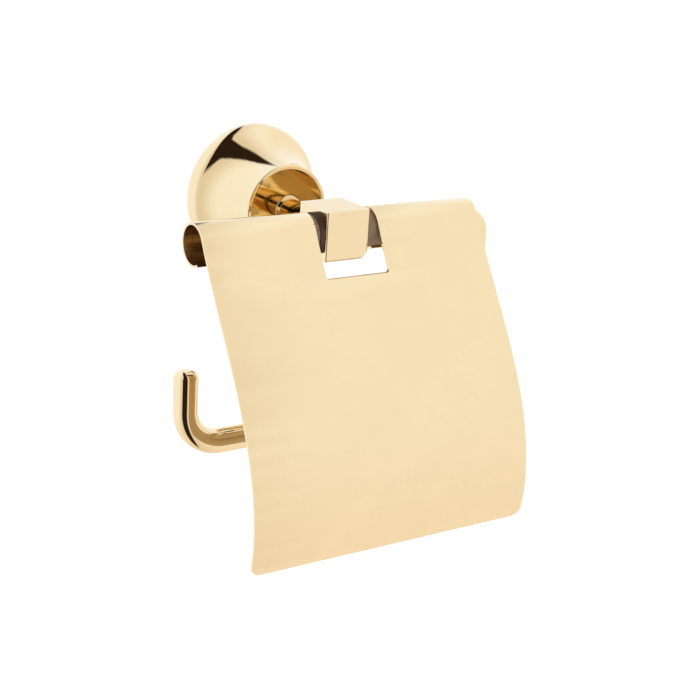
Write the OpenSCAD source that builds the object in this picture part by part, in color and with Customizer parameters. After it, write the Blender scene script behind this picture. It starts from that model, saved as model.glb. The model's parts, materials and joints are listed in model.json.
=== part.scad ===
// Wall-mounted toilet paper holder with a hinged cover.
// Millimetres. The wall is the plane y = 0 and the holder stands out of it
// towards -Y. X is to the right along the roll, Z is up. The origin is the
// axis of the round wall flange on the wall.

/* [Wall flange] */

// radius of the flange at the wall
rim_r = 31; // [24:0.5:40]
// depth of the flange's straight side
rim_side = 1.1; // [0.5:0.1:6]
// radius that rounds the side into the flare
roll_r = 6.1; // [1:0.1:9]
// steepest slope of the flare, from the flange's axis
flare_angle = 47.5; // [30:0.5:60]
// outer radius of the neck
neck_r = 18.4; // [14:0.1:24]
// distance from the wall to the neck's end
neck_end = 30.5; // [24:0.5:50]
// thickness of the spun shell
shell_t = 1.2; // [0.8:0.1:2.5]
// radius of the cup's bore
cup_r = 17.05; // [12:0.05:22]
// thickness of the drawn cup
cup_t = 0.6; // [0.4:0.1:1.5]
// distance from the wall to the cup's floor
cup_floor = 9; // [8.5:0.1:20]
// outer radius of the cup's rolled lip
lip_r = 18.9; // [15:0.1:25]
// thickness of the cup's rolled lip
lip_t = 1; // [0.6:0.1:2]

/* [Wall bracket] */

// radius of the bracket and its gasket
bracket_r = 26; // [20:0.5:28]
// thickness of the steel bracket
bracket_t = 2; // [1.5:0.1:3]
// thickness of the foam gasket
gasket_t = 0.8; // [0.4:0.1:1.5]
// distance between the two wall-screw holes
screw_pitch = 36; // [28:1:42]
// radius of the wall-screw holes
screw_hole_r = 2.25; // [2:0.05:3]

/* [Post] */

// radius of the round post and neck
post_r = 5.2; // [4:0.1:7]
// distance from the wall to the joint in the post
post_end = 32; // [28:0.5:45]
// radius of the lock ring in the joint
ring_r = 6.3; // [5.5:0.1:8]
// thickness of the lock ring
ring_t = 1; // [0.6:0.1:2]

/* [Head block] */

// width of the block
block_w = 20; // [16:0.5:26]
// height of the block
block_h = 20.6; // [16:0.2:26]
// distance from the wall to the block's rear face
block_rear = 57.7; // [50:0.1:80]
// distance from the wall to the block's front face
block_front = 79; // [70:0.5:100]
// radius of the block's lower right edge
block_corner_r = 5; // [1:0.5:5]
// radius of the block's other edges
block_edge_r = 0.7; // [0.3:0.1:1.5]

/* [Roll bar] */

// radius of the bar
bar_r = 5.05; // [4:0.05:6]
// distance from the wall to the bar and the cover's pivot
pivot_y = 70.3; // [60:0.1:90]
// centre of the bar's right-hand leg
leg_x = 70.9; // [66:0.1:80]
// centre of the hook at the bar's free end
hook_x = 66.2; // [60:0.1:75]
// drop from the pivot to the bar's lower run
bar_drop = 82.2; // [70:0.2:95]
// drop from the pivot to the hook's tip
tip_drop = 50.4; // [40:0.2:70]
// bend radius at the top of the leg, to the bar's centre
top_bend_r = 7; // [6:0.2:12]
// bend radius of the two lower bends, to the bar's centre
low_bend_r = 15.4; // [8:0.2:20]
// edge radius of the hook's tip
tip_edge_r = 3.2; // [1:0.1:4.5]

/* [Cover] */

// width of the cover
cover_w = 129.5; // [100:0.5:150]
// thickness of the sheet
cover_t = 1; // [0.8:0.1:2]
// length of the sheet below the curl, along its curve
cover_len = 131.8; // [90:0.1:160]
// outer radius of the curl along the rear edge
curl_r = 8.8; // [7.5:0.1:12]
// angle round the pivot at which the curl ends, from the front over the top
curl_end = 300; // [200:1:310]
// lean of the sheet where it leaves the curl, from straight down
lean_top = 26.84; // [10:0.1:45]
// growth of the lean per millimetre of sheet
lean_gain = 0.3549; // [0:0.001:0.6]
// loss of the lean per square millimetre of sheet
lean_loss = 0.00506; // [0:0.0001:0.01]
// width of the notch round the block
notch_w = 29.5; // [24:0.5:40]
// depth of the notch below the pivot
notch_drop = 14.2; // [12:0.2:25]
// radius of the sheet's lower corners
corner_r = 4; // [1:0.5:12]

/* [Hidden] */

$fn = 96;
fine = 1440;
cut = 0.5;
fit_gap = 0.02;
run_gap = 0.05;
side_gap = 0.3;

// flange, whose side rolls into the flare and the flare into the neck without a corner
blend_lap = 0.02;
roll_out = rim_r - roll_r;
flare_drop = roll_out + roll_r * cos(flare_angle) - neck_r + blend_lap;
flare_arc = flare_drop / (1 - cos(flare_angle));
flare_end = rim_side + (roll_r + flare_arc) * sin(flare_angle);
lip_end = neck_end + lip_t;

// bracket and post
hub_r = 9;
hub_spigot_r = 6.5;
tail_r = 4;
tail_start = 1.2;
bracket_front = gasket_t + bracket_t;
floor_rear = cup_floor - 1.2;
washer_r = 7.5;
washer_t = 0.8;
post_start = cup_floor + washer_t;
stud_r = 3;
stud_reach = 10;
stem_start = post_end + ring_t;
spigot_len = 5.6;

// block
bore_depth = 9;
block_depth = block_front - block_rear;
block_mid = (block_front + block_rear) / 2;
grub_r = 2;
grub_len = 4;
grub_x = 6;
grub_hex_r = 1.15;
grub_hex_depth = 2;
stem_grub_y = block_rear + 3;

// hinge
rubber_r = 8.4;
rubber_t = 2.3;
bush_flange_r = 7.8;
bush_r = curl_r - cover_t - run_gap;
bush_len = 12;
flange_x = notch_w / 2 - side_gap;
end_bush_x = cover_w / 2 - 14;
end_bush_len = 9;
stub_end = flange_x + bush_len + 2.4;
clip_r = 6.3;
clip_t = 0.8;

// sheet, as a chain of tangent arcs
arcs = 7;
arc_lap = 0.02;
notch_corner_r = 1.2;
curl_start = lean_top;

function lean(s) = lean_top + lean_gain * s - lean_loss * s * s;
function arc_at(i) = cover_len * i / arcs;
function lean_at(i) = lean(arc_at(i));
// signed radius of arc i, to its front face: positive is hollow to the front
function arc_rho(i) = (cover_len / arcs) / ((lean_at(i + 1) - lean_at(i)) * PI / 180);
function rear_dir(a) = [cos(a), -sin(a)];
function arc_move(i) = arc_rho(i) * (rear_dir(lean_at(i + 1)) - rear_dir(lean_at(i)));
function arc_point(i) = (i == 0)
    ? [-pivot_y - curl_r * cos(curl_start), curl_r * sin(curl_start)]
    : arc_point(i - 1) + arc_move(i - 1);
sheet_bottom = arc_point(arcs)[1];

gold = [0.93, 0.78, 0.48];
steel = [0.7, 0.71, 0.72];
foam = [0.2, 0.2, 0.2];
nylon = [0.6, 0.53, 0.46];
rubber = [0.12, 0.1, 0.09];

wall_gasket();
bracket_plate();
bracket_hub();
flange_shell();
cup_liner();
post_washer();
post();
joining_stud();
lock_ring();
neck_stem();
head_block();
grub_screws();
hanger_bar();
pivot_stub();
stub_clip();
friction_washer();
bush_left();
bush_right();
end_bush();
cover_flap();

// ---- helpers ----

// turns a profile of (radius, distance from the wall) about the flange axis
module turned() {
    rotate([90, 0, 0])
        rotate_extrude()
            children();
}

// rod along the flange axis, between two distances from the wall
module wall_rod(r, from, to) {
    translate([0, -from, 0])
        rotate([90, 0, 0])
            cylinder(r = r, h = to - from);
}

// rod along X on the pivot axis, between two X positions
module pivot_rod(r, from, to) {
    translate([from, -pivot_y, 0])
        rotate([0, 90, 0])
            cylinder(r = r, h = to - from);
}

// ring along X on the pivot axis
module pivot_ring(r, bore, from, to) {
    difference() {
        pivot_rod(r, from, to);
        pivot_rod(bore, from - cut, to + cut);
    }
}

// extrudes a (y, z) profile along X, centred
module along_x(len) {
    rotate([90, 0, 90])
        linear_extrude(height = len, center = true)
            children();
}

// extrudes an (x, z) outline along Y from the wall outwards
module along_y(len) {
    rotate([90, 0, 0])
        linear_extrude(height = len)
            children();
}

// rectangle centred on the origin with rounded corners
module round_rect(w, h, r) {
    square([w - 2 * r, h], center = true);
    square([w, h - 2 * r], center = true);
    for (sx = [-1, 1])
        for (sz = [-1, 1])
            translate([sx * (w / 2 - r), sz * (h / 2 - r)])
                circle(r = r);
}

// ---- wall bracket ----

module screw_holes_2d() {
    for (side = [-1, 1])
        translate([side * screw_pitch / 2, 0])
            circle(r = screw_hole_r);
}

module disc_plate(from, thick, bore) {
    translate([0, -from, 0])
        rotate([90, 0, 0])
            linear_extrude(height = thick)
                difference() {
                    circle(r = bracket_r);
                    circle(r = bore);
                    screw_holes_2d();
                }
}

module wall_gasket() {
    color(foam)
        disc_plate(0, gasket_t, hub_r);
}

module bracket_plate() {
    color(steel)
        disc_plate(gasket_t, bracket_t, hub_spigot_r + fit_gap);
}

module bracket_hub() {
    color(steel)
        difference() {
            union() {
                wall_rod(hub_spigot_r, gasket_t, bracket_front);
                wall_rod(hub_r, bracket_front, floor_rear);
            }
            wall_rod(tail_r + fit_gap, 0, floor_rear + cut);
        }
}

// ---- flange ----

// half section of the flange, made thinner all round by an inset
module bell_2d(inset) {
    roll = roll_r - inset;
    roll_end = rim_side + roll * sin(flare_angle);
    square([rim_r - inset, rim_side]);
    intersection() {
        translate([roll_out, rim_side])
            circle(r = roll);
        square([rim_r + cut, roll_end]);
    }
    difference() {
        square([roll_out + roll * cos(flare_angle), flare_end]);
        translate([neck_r + flare_arc - blend_lap, flare_end])
            circle(r = flare_arc + inset);
    }
}

module flange_shell() {
    color(gold)
        turned()
            difference() {
                union() {
                    bell_2d(0);
                    square([neck_r, neck_end]);
                }
                translate([0, -cut])
                    square([rim_r - shell_t, 2 * cut]);
                bell_2d(shell_t);
                square([cup_r + cup_t + run_gap, neck_end + cut]);
            }
}

module cup_liner() {
    color(gold)
        turned() {
            translate([cup_r, floor_rear])
                square([cup_t, lip_end - lip_t / 2 - floor_rear]);
            translate([tail_r + run_gap, floor_rear])
                square([cup_r + cup_t - tail_r - run_gap, cup_floor - floor_rear]);
            translate([cup_r + lip_t / 2, neck_end])
                square([lip_r - cup_r - lip_t, lip_t]);
            translate([lip_r - lip_t / 2, neck_end + lip_t / 2])
                circle(r = lip_t / 2);
            translate([cup_r + lip_t / 2, neck_end + lip_t / 2])
                circle(r = lip_t / 2);
        }
}

// ---- post ----

module post_washer() {
    color(gold)
        difference() {
            wall_rod(washer_r, cup_floor, post_start);
            wall_rod(tail_r + run_gap, cup_floor - cut, post_start + cut);
        }
}

module post() {
    color(gold)
        difference() {
            union() {
                wall_rod(tail_r, tail_start, post_start);
                wall_rod(post_r, post_start, post_end);
            }
            wall_rod(stud_r + fit_gap, post_end - stud_reach - cut, post_end + cut);
        }
}

module joining_stud() {
    color(steel)
        wall_rod(stud_r, post_end - stud_reach, stem_start + stud_reach);
}

module lock_ring() {
    half = ring_t / 2;
    color(gold)
        translate([0, -post_end, 0])
            turned() {
                translate([stud_r + run_gap, 0])
                    square([ring_r - half - stud_r - run_gap, ring_t]);
                translate([ring_r - half, half])
                    circle(r = half);
            }
}

module neck_stem() {
    color(gold)
        difference() {
            union() {
                wall_rod(post_r, stem_start, block_rear);
                wall_rod(tail_r, block_rear, block_rear + spigot_len);
            }
            wall_rod(stud_r + fit_gap, stem_start - cut, stem_start + stud_reach + cut);
        }
}

// ---- head block ----

module block_front_2d() {
    difference() {
        round_rect(block_w, block_h, block_edge_r);
        translate([block_w / 2 - block_corner_r, -block_h / 2 - cut])
            square(block_corner_r + cut);
    }
    translate([block_w / 2 - block_corner_r, block_corner_r - block_h / 2])
        circle(r = block_corner_r);
}

module grub_holes() {
    for (side = [-1, 1])
        translate([side * grub_x, -pivot_y, -block_h])
            cylinder(r = grub_r + fit_gap, h = block_h);
    translate([0, -stem_grub_y, -block_h])
        cylinder(r = grub_r + fit_gap, h = block_h);
}

module head_block() {
    color(gold)
        difference() {
            intersection() {
                along_x(block_w)
                    translate([-block_mid, 0])
                        round_rect(block_depth, block_h, block_edge_r);
                translate([0, -block_rear, 0])
                    along_y(block_depth)
                        block_front_2d();
                translate([0, -block_mid, -block_h / 2])
                    linear_extrude(height = block_h)
                        round_rect(block_w, block_depth, block_edge_r);
            }
            for (side = [-1, 1])
                translate([side * (block_w / 2 - bore_depth / 2 + cut / 2), -pivot_y, 0])
                    rotate([0, 90, 0])
                        cylinder(r = bar_r + fit_gap, h = bore_depth + cut, center = true);
            wall_rod(tail_r + fit_gap, block_rear - cut, block_rear + spigot_len + cut);
            grub_holes();
        }
}

module grub(x, y, top) {
    translate([x, -y, top - grub_len])
        difference() {
            cylinder(r = grub_r, h = grub_len);
            translate([0, 0, -cut])
                cylinder(r = grub_hex_r, h = grub_hex_depth + cut, $fn = 6);
        }
}

module grub_screws() {
    color(steel) {
        grub(-grub_x, pivot_y, -bar_r - fit_gap);
        grub(grub_x, pivot_y, -bar_r - fit_gap);
        grub(0, stem_grub_y, -tail_r - fit_gap);
    }
}

// ---- roll bar ----

// quarter bend in the bar's plane, about a centre, starting at an angle
module bar_bend(x, z, r, start) {
    translate([x, -pivot_y, z])
        rotate([90, -start, 0])
            rotate_extrude(angle = 90)
                translate([r, 0])
                    circle(r = bar_r);
}

module bar_upright(x, low, high) {
    translate([x, -pivot_y, low])
        cylinder(r = bar_r, h = high - low);
}

module hook_tip() {
    translate([-hook_x, -pivot_y, -tip_drop - tip_edge_r])
        rotate_extrude() {
            square([bar_r - tip_edge_r, tip_edge_r]);
            intersection() {
                translate([bar_r - tip_edge_r, 0])
                    circle(r = tip_edge_r);
                square([bar_r, tip_edge_r]);
            }
        }
}

module hanger_bar() {
    low_run = low_bend_r - bar_drop;
    color(gold) {
        pivot_rod(bar_r, block_w / 2 - bore_depth + fit_gap, leg_x - top_bend_r);
        bar_bend(leg_x - top_bend_r, -top_bend_r, top_bend_r, 0);
        bar_upright(leg_x, low_run, -top_bend_r);
        bar_bend(leg_x - low_bend_r, low_run, low_bend_r, -90);
        translate([0, 0, -bar_drop])
            pivot_rod(bar_r, low_bend_r - hook_x, leg_x - low_bend_r);
        bar_bend(low_bend_r - hook_x, low_run, low_bend_r, -180);
        bar_upright(-hook_x, low_run, -tip_drop - tip_edge_r);
        hook_tip();
    }
}

// ---- hinge ----

module pivot_stub() {
    inner = block_w / 2 - bore_depth + fit_gap;
    color(gold)
        difference() {
            pivot_rod(bar_r, -stub_end, -inner);
            pivot_ring(bar_r + cut, bar_r - cut, -flange_x - bush_len - clip_t - run_gap,
                -flange_x - bush_len);
        }
}

module stub_clip() {
    color(steel)
        pivot_ring(clip_r, bar_r - cut + fit_gap, -flange_x - bush_len - clip_t,
            -flange_x - bush_len);
}

module friction_washer() {
    color(rubber)
        pivot_ring(rubber_r, bar_r + fit_gap, -block_w / 2 - rubber_t, -block_w / 2);
}

module bush_left() {
    color(nylon) {
        pivot_ring(bush_flange_r, bar_r + fit_gap, -flange_x, -block_w / 2 - rubber_t);
        pivot_ring(bush_r, bar_r + fit_gap, -flange_x - bush_len, -flange_x);
    }
}

module bush_right() {
    color(nylon) {
        pivot_ring(bush_flange_r, bar_r + fit_gap, block_w / 2, flange_x);
        pivot_ring(bush_r, bar_r + fit_gap, flange_x, flange_x + bush_len);
    }
}

module end_bush() {
    color(nylon)
        pivot_ring(bush_r, bar_r + fit_gap, end_bush_x, end_bush_x + end_bush_len);
}

// ---- cover ----

// sector of a ring between two angles, measured from +Y towards +Z
module sector_2d(r_in, r_out, from, to) {
    reach = 2 * r_out;
    mid = (from + to) / 2;
    intersection() {
        difference() {
            circle(r = r_out, $fn = fine);
            circle(r = r_in, $fn = fine);
        }
        polygon([[0, 0], reach * [cos(from), sin(from)],
            reach * [cos(mid), sin(mid)], reach * [cos(to), sin(to)]]);
    }
}

module curl_2d() {
    half_turn = (180 + curl_start + curl_end) / 2;
    translate([-pivot_y, 0])
        for (k = [0, 1])
            sector_2d(curl_r - cover_t, curl_r,
                k == 0 ? 180 - curl_end : 180 - (curl_start + curl_end) / 2,
                k == 0 ? 180 - (curl_start + curl_end) / 2 : 180 - curl_start);
}

module sheet_arc_2d(i) {
    rho = arc_rho(i);
    centre = arc_point(i) - rho * rear_dir(lean_at(i));
    face = (rho > 0) ? 0 : 180;
    lap = arc_lap / abs(rho) * 180 / PI;
    radii = [abs(rho), abs(rho + cover_t)];
    ends = [face - lean_at(i), face - lean_at(i + 1)];
    translate(centre)
        sector_2d(min(radii), max(radii), min(ends) - lap, max(ends) + lap);
}

module sheet_2d() {
    curl_2d();
    for (i = [0 : arcs - 1])
        sheet_arc_2d(i);
}

// the flat outline of the cover seen from the front
module cover_outline_2d() {
    top = curl_r + cut;
    difference() {
        union() {
            translate([-cover_w / 2, sheet_bottom + corner_r])
                square([cover_w, top - sheet_bottom - corner_r]);
            translate([-cover_w / 2 + corner_r, sheet_bottom - cut])
                square([cover_w - 2 * corner_r, corner_r + 2 * cut]);
            for (side = [-1, 1])
                translate([side * (cover_w / 2 - corner_r), sheet_bottom + corner_r])
                    circle(r = corner_r);
        }
        translate([0, top])
            round_rect(notch_w, 2 * (notch_drop + top), notch_corner_r);
    }
}

module cover_flap() {
    color(gold)
        intersection() {
            along_x(cover_w)
                sheet_2d();
            translate([0, curl_r + cut - pivot_y, 0])
                along_y(cover_len)
                    cover_outline_2d();
        }
}
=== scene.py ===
"""Looks of a wall-mounted toilet paper holder in polished gold-coloured plating.

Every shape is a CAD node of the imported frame. This script gives each of them its finish, rounds
the cut edges of the cover, and makes the studio round the holder: a pale floor, the camera, and a
light tent with a dark opening and a dark gap over the top.
"""

import json
import math

import bpy
from mathutils import Matrix, Vector


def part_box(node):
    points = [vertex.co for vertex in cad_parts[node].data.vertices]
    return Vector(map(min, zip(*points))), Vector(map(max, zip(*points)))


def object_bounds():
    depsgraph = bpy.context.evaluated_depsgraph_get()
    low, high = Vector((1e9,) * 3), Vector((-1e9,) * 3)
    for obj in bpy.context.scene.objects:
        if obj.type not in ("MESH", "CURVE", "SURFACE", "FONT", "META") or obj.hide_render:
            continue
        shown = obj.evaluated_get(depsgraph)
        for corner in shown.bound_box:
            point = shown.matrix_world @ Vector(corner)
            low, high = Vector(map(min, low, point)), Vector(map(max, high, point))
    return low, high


# ---- camera: degrees, metres and millimetres of lens ----

CAMERA_AZIMUTH = 33.98
CAMERA_ELEVATION = 18.39
CAMERA_ROLL = 3.395
CAMERA_DISTANCE = 0.6419
CAMERA_TARGET = Vector((0.0127, -0.0665, -0.0536))
CAMERA_LENS = 78.6
CAMERA_SENSOR = 36.0

# ---- studio: the tent's light in linear colours, and directions from the holder in degrees ----

TENT_LOW = (1.01, 0.96, 0.90)
TENT_MIDDLE = (1.035, 1.035, 1.02)
TENT_HIGH = (1.08, 1.13, 1.20)
TENT_BACK = (1.06, 1.17, 1.38)
TENT_SIDE = (1.06, 1.11, 1.17)
TENT_NEAR = (0.85, 0.79, 0.69)
TENT_GAP = (0.026, 0.016, 0.010)
BACK_CENTRE = (170.0, 8.0)
SIDE_CENTRE = (-105.0, 10.0)
LOW_TO_MIDDLE = (-0.7, 0.5)
MIDDLE_TO_HIGH = (0.6, 0.95)
BACK_FADE = (0.35, 0.9)
SIDE_FADE = (0.2, 0.9)
OPENING_AZIMUTH = -33.0
OPENING_HALF_WIDTH = 22.0
OPENING_SOFTNESS = 0.03
OPENING_SHADE = 0.6
SEAM_RIGHT = (54.9, 17.75)
SEAM_LEFT = (-112.6, 1.7)
SEAM_SOFTNESS = 0.04
FLOOR_DROP = 0.34
FLOOR_HALF = 6.0
FLOOR_DIM = (0.93, 0.93, 0.93)
FLOOR_PALE = (0.97, 0.97, 0.97)
FLOOR_GLOW = 0.3
WHITE = (1.0, 1.0, 1.0)

# ---- finishes: linear colours, roughness, noise scales per metre, and depths in metres ----

GOLD = (0.905, 0.735, 0.472)
GOLD_EDGE = (1.0, 0.95, 0.86)
# Brighter gold inside the cup: painted light, on a side that is also less polished.
CUP_GOLD_PAINTED_LIGHT = (1.0, 0.83, 0.49)
# Darker gold of the cover's inside: painted shade, on a side that is also less polished.
DULL_GOLD_PAINTED_SHADE = (0.52, 0.35, 0.17)
STEEL = (0.62, 0.62, 0.63)
NYLON = (0.34, 0.235, 0.145)
RUBBER = (0.085, 0.050, 0.027)
FOAM = (0.05, 0.05, 0.05)
PLATE_GLOSS = 0.022
COVER_GLOSS = 0.03
CUP_GLOSS = 0.09
DULL_GLOSS = 0.3
SMUDGE_HAZE = 0.05
HAIRLINE_HAZE = 0.06
CLOUD_SCALE = 55.0
SMUDGE_SCALE = 130.0
WAVE_SCALE = 38.0
GRAIN_LONG = 40.0
GRAIN_FINE = 2600.0
HAIRLINE_DEPTH = 0.0000015
CUP_LIP = 0.0011

# ---- cover: metres and degrees ----

EDGE_MARGIN = 0.001
SHEET_EDGE = 0.0003
JOIN_GAP = 0.000002
SHARP_ANGLE = 50.0


# ---- node helpers ----

def set_sockets(node, **values):
    """Sets a node's input sockets. A name's underscores stand for spaces."""
    for name, value in values.items():
        node.inputs[name.replace("_", " ")].default_value = value
    return node


class Graph:
    """A node tree with short calls for the nodes that the finishes use."""

    def __init__(self, tree):
        self.tree = tree
        tree.nodes.clear()

    def node(self, kind, **settings):
        made = self.tree.nodes.new(kind)
        for name, value in settings.items():
            setattr(made, name, value)
        return made

    def link(self, source, target):
        self.tree.links.new(source, target)

    def feed(self, socket, value):
        """Gives a socket a constant, or the output that drives it."""
        if isinstance(value, bpy.types.NodeSocket):
            self.link(value, socket)
        else:
            socket.default_value = value

    def math(self, operation, *values):
        made = self.node("ShaderNodeMath", operation=operation)
        for socket, value in zip(made.inputs, values):
            self.feed(socket, value)
        return made.outputs[0]

    def dot(self, vector, direction):
        made = self.node("ShaderNodeVectorMath", operation="DOT_PRODUCT")
        self.feed(made.inputs[0], vector)
        self.feed(made.inputs[1], direction)
        return made.outputs["Value"]

    def ramp(self, value, start, end, low=0.0, high=1.0):
        made = self.node("ShaderNodeMapRange", interpolation_type="SMOOTHSTEP")
        self.feed(made.inputs["Value"], value)
        set_sockets(made, From_Min=start, From_Max=end)
        self.feed(made.inputs["To Min"], low)
        self.feed(made.inputs["To Max"], high)
        return made.outputs["Result"]

    def mix(self, factor, first, second):
        made = self.node("ShaderNodeMix", data_type="RGBA")
        self.feed(made.inputs["Factor"], factor)
        self.feed(made.inputs[6], first)
        self.feed(made.inputs[7], second)
        return made.outputs[2]

    def noise(self, vector, scale, detail=2.0, roughness=0.5):
        made = self.node("ShaderNodeTexNoise")
        self.feed(made.inputs["Vector"], vector)
        set_sockets(made, Scale=scale, Detail=detail, Roughness=roughness)
        return made.outputs["Fac"]

    def stretched(self, vector, scale):
        made = self.node("ShaderNodeMapping")
        self.feed(made.inputs["Vector"], vector)
        made.inputs["Scale"].default_value = scale
        return made.outputs["Vector"]

    def bump(self, height, strength, distance, under=None):
        made = self.node("ShaderNodeBump")
        set_sockets(made, Strength=strength, Distance=distance)
        self.link(height, made.inputs["Height"])
        if under is not None:
            self.link(under, made.inputs["Normal"])
        return made.outputs["Normal"]


def new_material(name):
    """A material with an empty graph, its surface shader and the piece's own coordinates."""
    material = bpy.data.materials.new(name)
    material.use_nodes = True
    graph = Graph(material.node_tree)
    shader = graph.node("ShaderNodeBsdfPrincipled")
    output = graph.node("ShaderNodeOutputMaterial")
    graph.link(shader.outputs["BSDF"], output.inputs["Surface"])
    place = graph.node("ShaderNodeTexCoord").outputs["Object"]
    return material, graph, shader, place


def rgba(colour):
    return (*colour, 1.0)


def scaled(colour, factor):
    return tuple(part * factor for part in colour)


# ---- finishes ----

def plated(name, grain, waviness, gloss=PLATE_GLOSS, painted_side=None):
    """Polished plating: a mirror with faint smudges, hairlines along the grain and slow waves.

    painted_side is a function that gives a less polished side's mask, colour and roughness. That
    colour is painted shade on the cover's inside and painted light inside the cup.
    """
    material, graph, shader, place = new_material(name)
    cloud = graph.ramp(graph.noise(place, CLOUD_SCALE, 3.0), 0.3, 0.7)
    smudge = graph.ramp(graph.noise(place, SMUDGE_SCALE, 5.0, 0.62), 0.50, 0.74)
    hair = graph.noise(graph.stretched(place, grain), 1.0, 2.0)
    hairline = graph.ramp(hair, 0.66, 0.72)
    tint = graph.mix(cloud, rgba(scaled(GOLD, 0.98)), rgba(GOLD))
    colour = graph.mix(graph.math("MULTIPLY", smudge, 0.4), tint, rgba(scaled(GOLD, 0.95)))
    smudged = graph.math("MULTIPLY_ADD", smudge, SMUDGE_HAZE, gloss)
    rough = graph.math("MULTIPLY_ADD", hairline, HAIRLINE_HAZE, smudged)
    if painted_side is not None:
        mask, painted_tone, dull_gloss = painted_side(graph)
        # The side's colour, with random mottling: painted shade on the cover's inside, painted light
        # inside the cup.
        mottled_painted_tone = graph.mix(cloud, rgba(scaled(painted_tone, 0.86)), rgba(painted_tone))
        colour = graph.mix(mask, colour, mottled_painted_tone)
        brushed = graph.ramp(hair, 0.3, 0.7, 0.8 * dull_gloss, 1.2 * dull_gloss)
        rough = graph.ramp(mask, 0.0, 1.0, rough, brushed)
    graph.link(colour, shader.inputs["Base Color"])
    graph.link(rough, shader.inputs["Roughness"])
    waves = graph.bump(graph.noise(place, WAVE_SCALE, 1.0), 1.0, waviness)
    normal = graph.bump(hair, 0.25, HAIRLINE_DEPTH, waves)
    graph.link(normal, shader.inputs["Normal"])
    set_sockets(shader, Metallic=1.0, Specular_Tint=rgba(GOLD_EDGE))
    return material


def cover_inside(graph):
    """The side of the cover that faces its hinge pin, without the cut edges."""
    hinge = next(joint for joint in frame["joints"] if joint["name"] == "cover_hinge")
    pivot = Vector(hinge["pos_m"])
    coordinates = graph.node("ShaderNodeTexCoord")
    outwards = graph.node("ShaderNodeVectorMath", operation="SUBTRACT")
    graph.link(coordinates.outputs["Object"], outwards.inputs[0])
    outwards.inputs[1].default_value = (0.0, pivot.y, pivot.z)
    level = graph.node("ShaderNodeVectorMath", operation="MULTIPLY")
    graph.link(outwards.outputs[0], level.inputs[0])
    level.inputs[1].default_value = (0.0, 1.0, 1.0)
    facing = graph.dot(coordinates.outputs["Normal"], level.outputs[0])
    mask = graph.math("LESS_THAN", facing, -EDGE_MARGIN)
    # The cover's inside is rougher, and its darker gold is painted shade.
    return mask, DULL_GOLD_PAINTED_SHADE, DULL_GLOSS


def cup_inside(graph):
    """All of the cup behind its rolled lip."""
    place = graph.node("ShaderNodeTexCoord").outputs["Object"]
    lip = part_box("cup_liner")[0].y + CUP_LIP
    mask = graph.math("GREATER_THAN", graph.dot(place, Vector((0.0, 1.0, 0.0))), lip)
    # The cup's inside is rougher, and its brighter gold is painted light.
    return mask, CUP_GOLD_PAINTED_LIGHT, CUP_GLOSS


def plain_steel(name):
    """Zinc-coated steel of the hidden fixings: grey, satin, with rolled grain."""
    material, graph, shader, place = new_material(name)
    rolled = graph.noise(graph.stretched(place, (90.0, 900.0, 2200.0)), 1.0, 4.0)
    spangle = graph.noise(place, 420.0, 3.0)
    tint = graph.mix(graph.ramp(spangle, 0.35, 0.7), rgba(scaled(STEEL, 0.86)), rgba(STEEL))
    graph.link(tint, shader.inputs["Base Color"])
    graph.link(graph.ramp(rolled, 0.3, 0.75, 0.24, 0.42), shader.inputs["Roughness"])
    graph.link(graph.bump(rolled, 0.3, 0.000004), shader.inputs["Normal"])
    set_sockets(shader, Metallic=1.0)
    return material


def moulded(name, colour, gloss, speck, pits):
    """Moulded plastic, rubber or foam: a mottled colour and a fine moulded or open surface."""
    material, graph, shader, place = new_material(name)
    mottle = graph.noise(place, 300.0, 4.0)
    fine = graph.noise(place, speck, 3.0)
    tint = graph.mix(graph.ramp(mottle, 0.3, 0.7), rgba(scaled(colour, 0.85)), rgba(colour))
    graph.link(tint, shader.inputs["Base Color"])
    graph.link(graph.ramp(fine, 0.3, 0.7, gloss - 0.07, gloss + 0.07), shader.inputs["Roughness"])
    graph.link(graph.bump(fine, 0.5, pits), shader.inputs["Normal"])
    set_sockets(shader, Metallic=0.0, Specular_IOR_Level=0.25)
    return material


def finish_nodes():
    """Gives every CAD node its material."""
    along_x = (GRAIN_LONG, GRAIN_FINE, GRAIN_FINE)
    along_y = (GRAIN_FINE, GRAIN_LONG, GRAIN_FINE)
    along_z = (GRAIN_FINE, GRAIN_FINE, GRAIN_LONG)
    spun = plated("flange_gold", along_y, 0.000006)
    # The cup's inside gets a brighter gold, which is painted light.
    drawn = plated("cup_gold", along_y, 0.000006, painted_side=cup_inside)
    turned = plated("post_gold", along_y, 0.000002)
    milled = plated("block_gold", along_z, 0.000004)
    bent = plated("bar_gold", along_x, 0.000003)
    # The cover's inside gets a darker gold, which is painted shade.
    rolled = plated("cover_gold", along_z, 0.000012, gloss=COVER_GLOSS, painted_side=cover_inside)
    steel = plain_steel("zinc_steel")
    nylon = moulded("bush_nylon", NYLON, 0.5, 2500.0, 0.00002)
    rubber = moulded("washer_rubber", RUBBER, 0.6, 3000.0, 0.00003)
    foam = moulded("gasket_foam", FOAM, 0.85, 1800.0, 0.0001)
    finishes = {
        spun: ["flange_shell"],
        drawn: ["cup_liner", "post_washer"],
        turned: ["post", "neck_stem", "lock_ring"],
        milled: ["head_block"],
        bent: ["hanger_bar", "pivot_stub"],
        rolled: ["cover_flap"],
        steel: ["bracket_plate", "bracket_hub", "joining_stud", "grub_screws", "stub_clip"],
        nylon: ["bush_left", "bush_right", "end_bush"],
        rubber: ["friction_washer"],
        foam: ["wall_gasket"],
    }
    for material, nodes in finishes.items():
        for name in nodes:
            for holder in frame["nodes"][name].material_slots:
                holder.material = material


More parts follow.
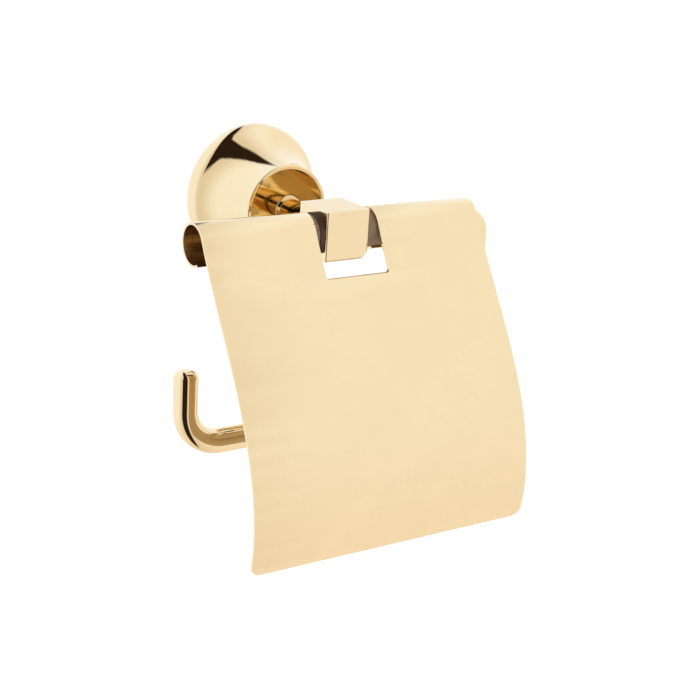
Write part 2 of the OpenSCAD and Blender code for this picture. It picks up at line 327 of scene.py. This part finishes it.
def soften_edges():
    """Rounds the cut edges of the cover's sheet, which catch the light as fine lines."""
    sheet = frame["nodes"]["cover_flap"]
    join = sheet.modifiers.new("join_faces", "WELD")
    join.merge_threshold = JOIN_GAP
    edge = sheet.modifiers.new("edge_round", "BEVEL")
    edge.width = SHEET_EDGE
    edge.segments = 3
    edge.limit_method = "ANGLE"
    edge.angle_limit = math.radians(SHARP_ANGLE)
    edge.harden_normals = True


# ---- studio ----

def direction(azimuth, elevation):
    """Unit vector at an azimuth from the front, growing to the right, and an elevation."""
    a, e = math.radians(azimuth), math.radians(elevation)
    return Vector((math.sin(a) * math.cos(e), -math.cos(a) * math.cos(e), math.sin(e)))


def light_tent():
    """A light tent, warm below and cool above, with a dark opening and a dark gap over the top."""
    world = bpy.data.worlds.new("light_tent")
    bpy.context.scene.world = world
    world.use_nodes = True
    graph = Graph(world.node_tree)
    ray = graph.node("ShaderNodeTexCoord").outputs["Generated"]
    height = graph.dot(ray, direction(0.0, 90.0))

    walls = graph.mix(graph.ramp(height, *LOW_TO_MIDDLE), rgba(TENT_LOW), rgba(TENT_MIDDLE))
    walls = graph.mix(graph.ramp(height, *MIDDLE_TO_HIGH), walls, rgba(TENT_HIGH))
    back = graph.ramp(graph.dot(ray, direction(*BACK_CENTRE)), *BACK_FADE)
    walls = graph.mix(back, walls, rgba(TENT_BACK))
    side = graph.ramp(graph.dot(ray, direction(*SIDE_CENTRE)), *SIDE_FADE)
    walls = graph.mix(side, walls, rgba(TENT_SIDE))

    ahead = direction(OPENING_AZIMUTH, 0.0)
    across = Vector((-ahead.y, ahead.x, 0.0))
    spread = graph.math("ABSOLUTE", graph.dot(ray, across))
    reach = graph.dot(ray, ahead * math.tan(math.radians(OPENING_HALF_WIDTH)))
    inside = graph.math("SUBTRACT", reach, spread)
    opening = graph.ramp(inside, -OPENING_SOFTNESS, OPENING_SOFTNESS)
    walls = graph.mix(graph.ramp(inside, -OPENING_SHADE, 0.0), walls, rgba(TENT_NEAR))

    right = graph.dot(ray, direction(*SEAM_RIGHT))
    left = graph.dot(ray, direction(*SEAM_LEFT))
    seam = graph.ramp(graph.math("MINIMUM", right, left), -SEAM_SOFTNESS, SEAM_SOFTNESS)

    gap = graph.math("MAXIMUM", opening, seam)
    seen = graph.mix(gap, walls, rgba(TENT_GAP))
    rays = graph.node("ShaderNodeLightPath")
    shown = graph.mix(rays.outputs["Is Camera Ray"], seen, rgba(WHITE))
    background = graph.node("ShaderNodeBackground")
    graph.link(shown, background.inputs["Color"])
    output = graph.node("ShaderNodeOutputWorld")
    graph.link(background.outputs["Background"], output.inputs["Surface"])


def pale_floor():
    """A wide pale floor well below the holder. The polished parts mirror the tent, not the floor."""
    bpy.ops.mesh.primitive_plane_add(size=2 * FLOOR_HALF)
    floor = bpy.context.object
    floor.name = "studio_floor"
    floor.location = (0.0, 0.0, cad_low.z - FLOOR_DROP)
    floor.visible_glossy = False
    material, graph, shader, place = new_material("pale_floor")
    speckle = graph.noise(place, 3.0, 4.0)
    tint = graph.mix(speckle, rgba(FLOOR_DIM), rgba(FLOOR_PALE))
    graph.link(tint, shader.inputs["Base Color"])
    set_sockets(shader, Roughness=0.9, Emission_Color=rgba(WHITE), Emission_Strength=FLOOR_GLOW)
    floor.data.materials.append(material)


def set_camera():
    """Aims the camera down from the front left, with the slight roll of the view."""
    a, e, r = (math.radians(v) for v in (CAMERA_AZIMUTH, CAMERA_ELEVATION, CAMERA_ROLL))
    forward = Vector((math.sin(a) * math.cos(e), math.cos(a) * math.cos(e), -math.sin(e)))
    right = Vector((math.cos(a), -math.sin(a), 0.0))
    up = right.cross(forward)
    side = right * math.cos(r) + up * math.sin(r)
    top = up * math.cos(r) - right * math.sin(r)
    data = bpy.data.cameras.new("studio_camera")
    data.lens = CAMERA_LENS
    data.sensor_width = CAMERA_SENSOR
    camera = bpy.data.objects.new("studio_camera", data)
    bpy.context.scene.collection.objects.link(camera)
    camera.matrix_world = Matrix((side, top, -forward)).transposed().to_4x4()
    camera.location = CAMERA_TARGET - forward * CAMERA_DISTANCE
    bpy.context.scene.camera = camera


def plain_tones():
    """Shows the light as it is, so that white stays white."""
    bpy.context.scene.view_settings.view_transform = "Standard"


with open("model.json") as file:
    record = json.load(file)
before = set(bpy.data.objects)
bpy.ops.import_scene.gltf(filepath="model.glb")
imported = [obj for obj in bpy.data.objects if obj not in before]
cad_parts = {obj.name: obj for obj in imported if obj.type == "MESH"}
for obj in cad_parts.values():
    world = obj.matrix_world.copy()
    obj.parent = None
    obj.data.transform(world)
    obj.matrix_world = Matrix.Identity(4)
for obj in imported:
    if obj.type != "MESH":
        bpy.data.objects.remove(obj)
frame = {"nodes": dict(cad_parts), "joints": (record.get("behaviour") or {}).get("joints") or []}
cad_low, cad_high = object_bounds()

set_camera()
plain_tones()
light_tent()
pale_floor()
finish_nodes()
soften_edges()
